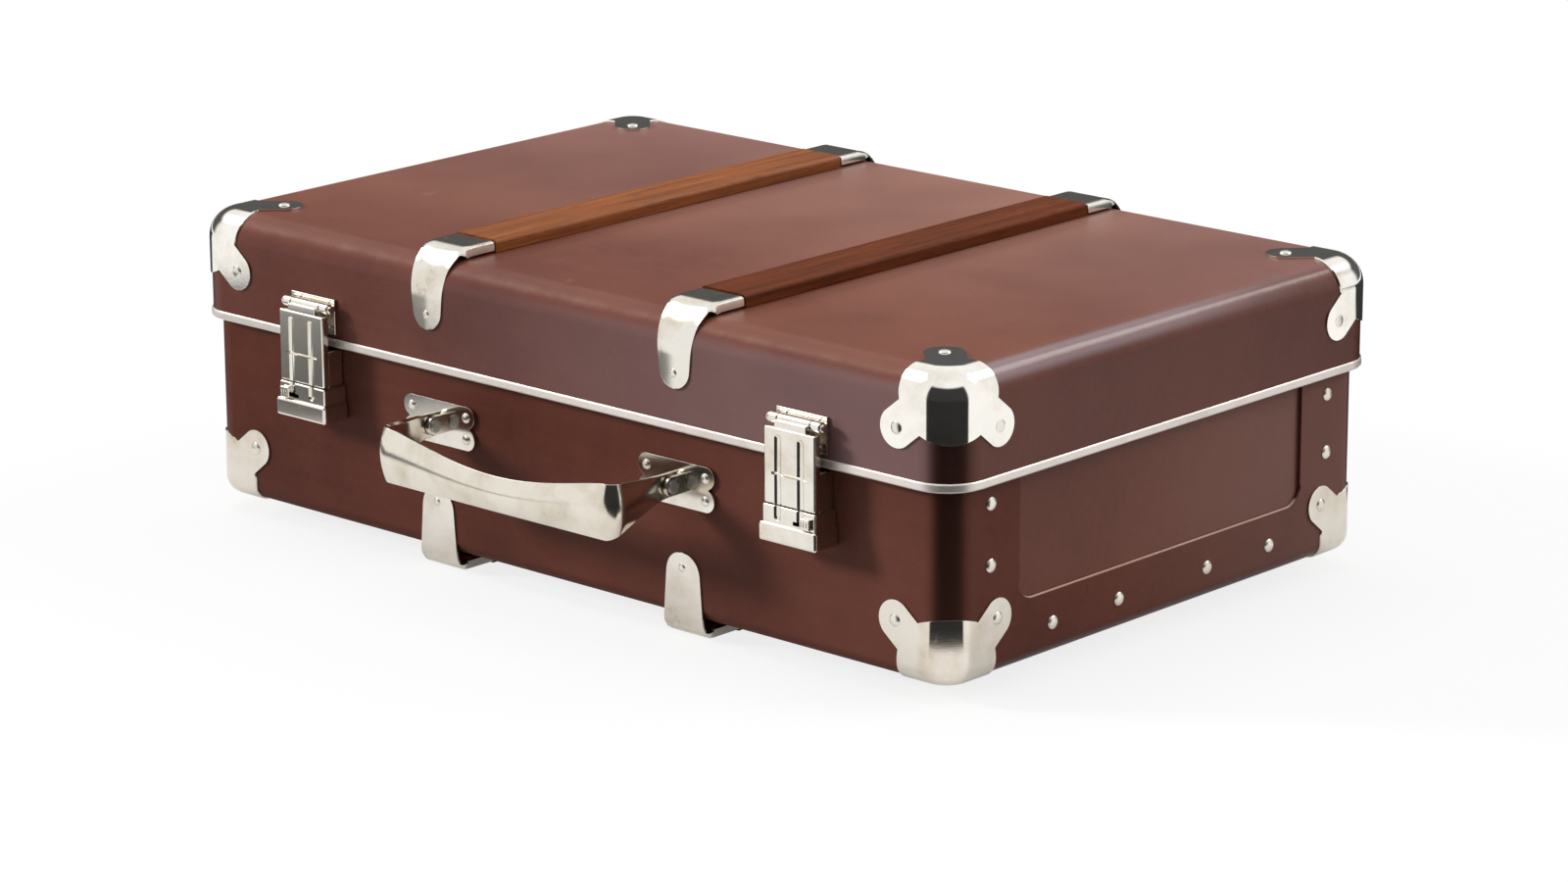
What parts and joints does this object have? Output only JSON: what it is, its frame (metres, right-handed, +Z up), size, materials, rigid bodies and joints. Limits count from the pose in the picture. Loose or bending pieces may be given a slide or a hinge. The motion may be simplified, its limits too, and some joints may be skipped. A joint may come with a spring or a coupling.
{
  "type": "suitcase",
  "caption": "Rectangular brown fibre suitcase with wooden slats, metal corner caps, hasp locks, hinged lid and swinging front handle, lying flat on its runners.",
  "frame": {"origin": "on the floor under the middle of the whole part's box, handle and hinges included", "axes": "+X along the case's length, -Y towards the handle and locks, +Y towards the hinges, +Z up through the lid"},
  "size_m": [0.5026, 0.3632, 0.162],
  "materials": {
    "brown_fibre": "semi-gloss brown vulcanised fibre sheet",
    "pale_band": "satin pale metal edge band",
    "nickel_plate": "warm polished nickel plate on pressed steel",
    "varnished_slat": "varnished red-brown hardwood",
    "frame_wood": "plain planed wood",
    "lining_paper": "matte printed paper on board",
    "plain_steel": "bare steel wire and strip"
  },
  "bodies": {
    "base": {"base_clip_back_left": "nickel_plate", "base_clip_back_right": "nickel_plate", "base_clip_front_left": "nickel_plate", "base_clip_front_right": "nickel_plate", "base_corner_back_left": "nickel_plate", "base_corner_back_right": "nickel_plate", "base_corner_front_left": "nickel_plate", "base_corner_front_right": "nickel_plate", "base_end_panel_left": "brown_fibre", "base_end_panel_right": "brown_fibre", "base_lining": "lining_paper", "base_rim_frame": "frame_wood", "base_slat_left": "varnished_slat", "base_slat_right": "varnished_slat", "base_tray": "brown_fibre", "handle_backing_left": "plain_steel", "handle_backing_right": "plain_steel", "handle_bracket_left": "nickel_plate", "handle_bracket_right": "nickel_plate", "handle_pin_left": "plain_steel", "handle_pin_right": "plain_steel", "hinge_base_leaf_left": "nickel_plate", "hinge_base_leaf_right": "nickel_plate", "hinge_pin_left": "plain_steel", "hinge_pin_right": "plain_steel", "lock_case_left": "nickel_plate", "lock_case_right": "nickel_plate"},
    "lid": {"hasp_pin_left": "plain_steel", "hasp_pin_right": "plain_steel", "hasp_plate_left": "nickel_plate", "hasp_plate_right": "nickel_plate", "hinge_lid_leaf_left": "nickel_plate", "hinge_lid_leaf_right": "nickel_plate", "lid_clip_back_left": "nickel_plate", "lid_clip_back_right": "nickel_plate", "lid_clip_front_left": "nickel_plate", "lid_clip_front_right": "nickel_plate", "lid_corner_back_left": "nickel_plate", "lid_corner_back_right": "nickel_plate", "lid_corner_front_left": "nickel_plate", "lid_corner_front_right": "nickel_plate", "lid_edge_band": "pale_band", "lid_lining": "lining_paper", "lid_rim_frame": "frame_wood", "lid_shell": "brown_fibre", "lid_slat_left": "varnished_slat", "lid_slat_right": "varnished_slat"},
    "hasp_left": {"hasp_left": "nickel_plate"},
    "hasp_right": {"hasp_right": "nickel_plate"},
    "lock_slide_left": {"lock_slide_left": "nickel_plate"},
    "lock_slide_right": {"lock_slide_right": "nickel_plate"},
    "handle": {"handle_grip": "nickel_plate"}
  },
  "joints": [
    {"name": "lid_hinge", "type": "hinge", "parent": "base", "child": "lid", "pos_m": [0, 0.1784, 0.1033], "axis": [-1, 0, 0], "range_deg": [0, 105]},
    {"name": "handle_swing", "type": "hinge", "parent": "base", "child": "handle", "pos_m": [0, -0.1441, 0.075], "axis": [-1, 0, 0], "range_deg": [-60, 75]},
    {"name": "hasp_left_swing", "type": "hinge", "parent": "lid", "child": "hasp_left", "pos_m": [-0.162, -0.1459, 0.121], "axis": [-1, 0, 0], "range_deg": [0, 120]},
    {"name": "lock_left_slide", "type": "slide", "parent": "base", "child": "lock_slide_left", "axis": [1, 0, 0], "range_m": [0, 0.007]},
    {"name": "hasp_right_swing", "type": "hinge", "parent": "lid", "child": "hasp_right", "pos_m": [0.162, -0.1459, 0.121], "axis": [-1, 0, 0], "range_deg": [0, 120]},
    {"name": "lock_right_slide", "type": "slide", "parent": "base", "child": "lock_slide_right", "axis": [-1, 0, 0], "range_m": [0, 0.007]}
  ]
}
